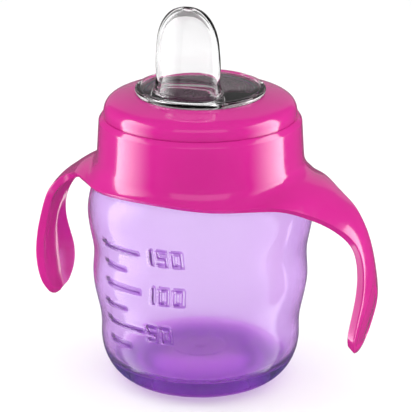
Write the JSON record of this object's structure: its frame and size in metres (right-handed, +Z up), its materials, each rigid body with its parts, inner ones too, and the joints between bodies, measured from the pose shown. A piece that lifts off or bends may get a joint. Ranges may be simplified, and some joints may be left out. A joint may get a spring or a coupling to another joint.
{
  "type": "sippy cup",
  "caption": "Two-handled training cup with a wavy translucent bottle, screw lid, soft clear spout and valve, and a handle ring that turns on the neck.",
  "frame": {"origin": "centre of the ring the cup stands on, on the ground", "axes": "+Z up, -Y towards the drinking side, where the spout is nearest, +X through one handle"},
  "size_m": [0.1252, 0.0768, 0.1288],
  "materials": {
    "bottle_plastic": "translucent purple polypropylene, glossy outside",
    "pink_plastic": "opaque pink polypropylene, polished",
    "clear_silicone": "clear liquid silicone rubber, polished",
    "smoke_silicone": "smoke grey silicone rubber, satin"
  },
  "bodies": {
    "cup": {"cup_body": "bottle_plastic"},
    "handles": {"handle_ring": "pink_plastic"},
    "spout": {"spout": "clear_silicone", "valve": "smoke_silicone"},
    "lid": {"screw_ring": "pink_plastic"}
  },
  "joints": [
    {"name": "handle_turn", "type": "hinge", "parent": "cup", "child": "handles", "pos_m": [0, 0, 0.0733], "axis": [0, 0, 1], "continuous": true},
    {"name": "spout_rise", "type": "slide", "parent": "cup", "child": "spout", "axis": [0, 0, 1], "range_m": [0, 0.00501]},
    {"name": "ring_turn", "type": "hinge", "parent": "spout", "child": "lid", "pos_m": [0, 0, 0.082], "axis": [0, 0, 1], "range_deg": [0, 450]}
  ],
  "couplings": [
    {"joint": "spout_rise", "follows": "ring_turn", "m_per_rad": 0.00063662}
  ]
}
